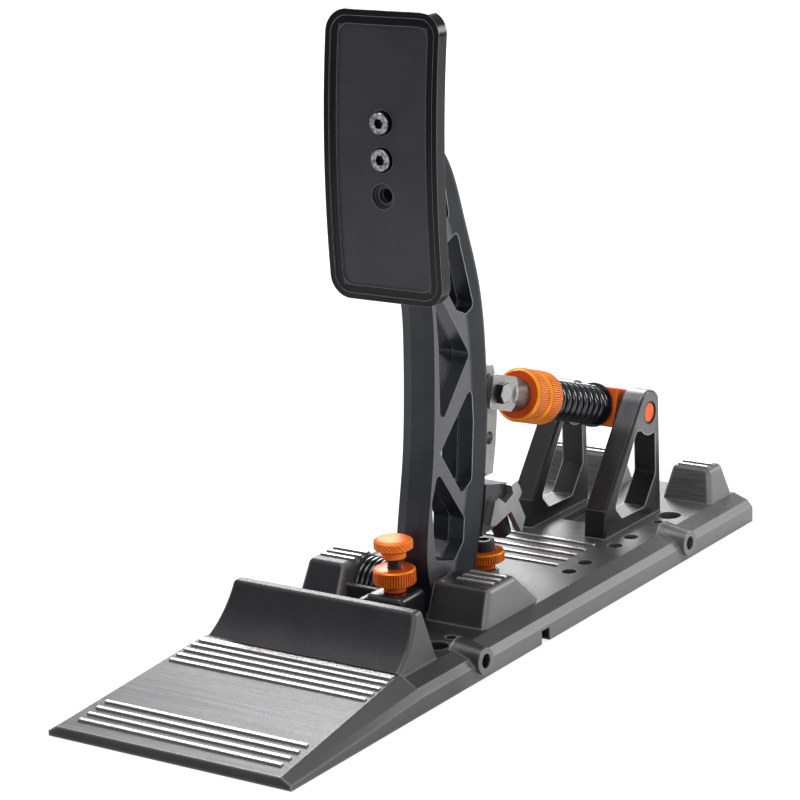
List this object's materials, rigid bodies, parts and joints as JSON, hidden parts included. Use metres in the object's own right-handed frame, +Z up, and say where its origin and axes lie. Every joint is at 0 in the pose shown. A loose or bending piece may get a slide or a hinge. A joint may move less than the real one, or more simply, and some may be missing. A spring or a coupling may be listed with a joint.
{
  "type": "sim racing pedal",
  "caption": "Racing simulator foot pedal: ribbed cast base with heel stop, latticed arm with curved plate, sprung strut on side frames, orange adjusters.",
  "frame": {"origin": "centre of the bounding box of the resting pedal, on the floor plane under the base casting", "axes": "+Z up, +Y from the heel end of the base to its rear end, +X to the driver's right"},
  "size_m": [0.124, 0.375, 0.2716],
  "materials": {
    "cast_base": "satin powder coat",
    "frame_metal": "satin powder coat",
    "arm_metal": "semi-gloss graphite",
    "plate_black": "satin black",
    "anodised_orange": "orange anodised",
    "spring_black": "gloss black",
    "steel": "brushed",
    "screw_steel": "satin",
    "black_screw": "black oxide",
    "rubber_black": "matt",
    "plastic_black": "matt",
    "bronze": "machined",
    "board_green": "solder mask"
  },
  "bodies": {
    "base": {"base_casting": "cast_base", "frame_right": "frame_metal", "frame_left": "frame_metal", "frame_screws": "black_screw", "pivot_bush_right": "bronze", "pivot_bush_left": "bronze", "shaft_plug": "black_screw", "spring_sleeve": "plastic_black", "torsion_spring": "spring_black", "stop_seat": "plastic_black", "stop_seat_screws": "black_screw", "adjuster_insert": "bronze", "rear_stop_stud": "screw_steel", "sensor_board": "board_green", "sensor_chip": "plastic_black", "sensor_cover": "plastic_black", "cable_terminal": "plastic_black"},
    "pedal": {"pedal_arm": "arm_metal", "pivot_shaft": "steel", "shaft_set_screw": "black_screw", "sensor_magnet": "steel", "thrust_washer": "plastic_black", "pedal_plate": "plate_black", "plate_screws": "screw_steel", "lug_plate": "steel", "lug_pins": "steel", "stop_foot": "plastic_black", "foot_screw": "black_screw", "foot_bracket": "steel", "foot_pad": "rubber_black", "clevis_bolt": "screw_steel", "clevis_nut": "screw_steel"},
    "strut": {"clevis": "steel", "strut_rod": "steel", "rod_nut": "screw_steel", "spring_washer_front": "spring_black", "compression_spring": "spring_black"},
    "front_preload_nut": {"preload_nut_front": "anodised_orange"},
    "rear_preload_nut": {"preload_nut_rear": "anodised_orange"},
    "trunnion": {"trunnion_block": "anodised_orange", "block_bush": "bronze", "trunnion_pins": "anodised_orange", "trunnion_spacers": "plastic_black", "spring_washer_rear": "spring_black"},
    "front_knob": {"front_stop_knob": "anodised_orange", "front_stop_stud": "black_screw"},
    "front_ring": {"front_stop_ring": "anodised_orange"},
    "rear_ring": {"rear_stop_ring": "anodised_orange", "rear_bumper": "rubber_black"}
  },
  "joints": [
    {"name": "pedal_swing", "type": "hinge", "parent": "base", "child": "pedal", "pos_m": [0.007, -0.0095, 0.0145], "axis": [-1, 0, 0], "range_deg": [0, 9], "stiffness_Nm_per_rad": 12, "springref_deg": -6.88, "deforming": ["torsion_spring", "compression_spring"]},
    {"name": "clevis_pivot", "type": "hinge", "parent": "pedal", "child": "strut", "pos_m": [0.007, 0.0405, 0.0945], "axis": [-1, 0, 0], "range_deg": [-12, 0]},
    {"name": "trunnion_turn", "type": "hinge", "parent": "base", "child": "trunnion", "pos_m": [0.007, 0.1395, 0.0625], "axis": [-1, 0, 0], "range_deg": [-3, 0]},
    {"name": "front_preload_turn", "type": "hinge", "parent": "strut", "child": "front_preload_nut", "pos_m": [0.007, 0.06905, 0.08527], "axis": [0, 0.9515, -0.3076], "continuous": true},
    {"name": "rear_preload_turn", "type": "hinge", "parent": "strut", "child": "rear_preload_nut", "pos_m": [0.007, 0.07951, 0.08189], "axis": [0, 0.9515, -0.3076], "continuous": true},
    {"name": "front_knob_turn", "type": "hinge", "parent": "base", "child": "front_knob", "pos_m": [0.007, -0.0371, 0.046], "axis": [0, 0, 1], "continuous": true},
    {"name": "front_ring_turn", "type": "hinge", "parent": "base", "child": "front_ring", "pos_m": [0.007, -0.0371, 0.032], "axis": [0, 0, 1], "continuous": true},
    {"name": "rear_ring_turn", "type": "hinge", "parent": "base", "child": "rear_ring", "pos_m": [0.007, 0.0331, 0.02], "axis": [0, 0, 1], "continuous": true}
  ],
  "couplings": [
    {"joint": "clevis_pivot", "follows": "pedal_swing", "ratio": -1.312},
    {"joint": "trunnion_turn", "follows": "pedal_swing", "ratio": -0.312}
  ]
}
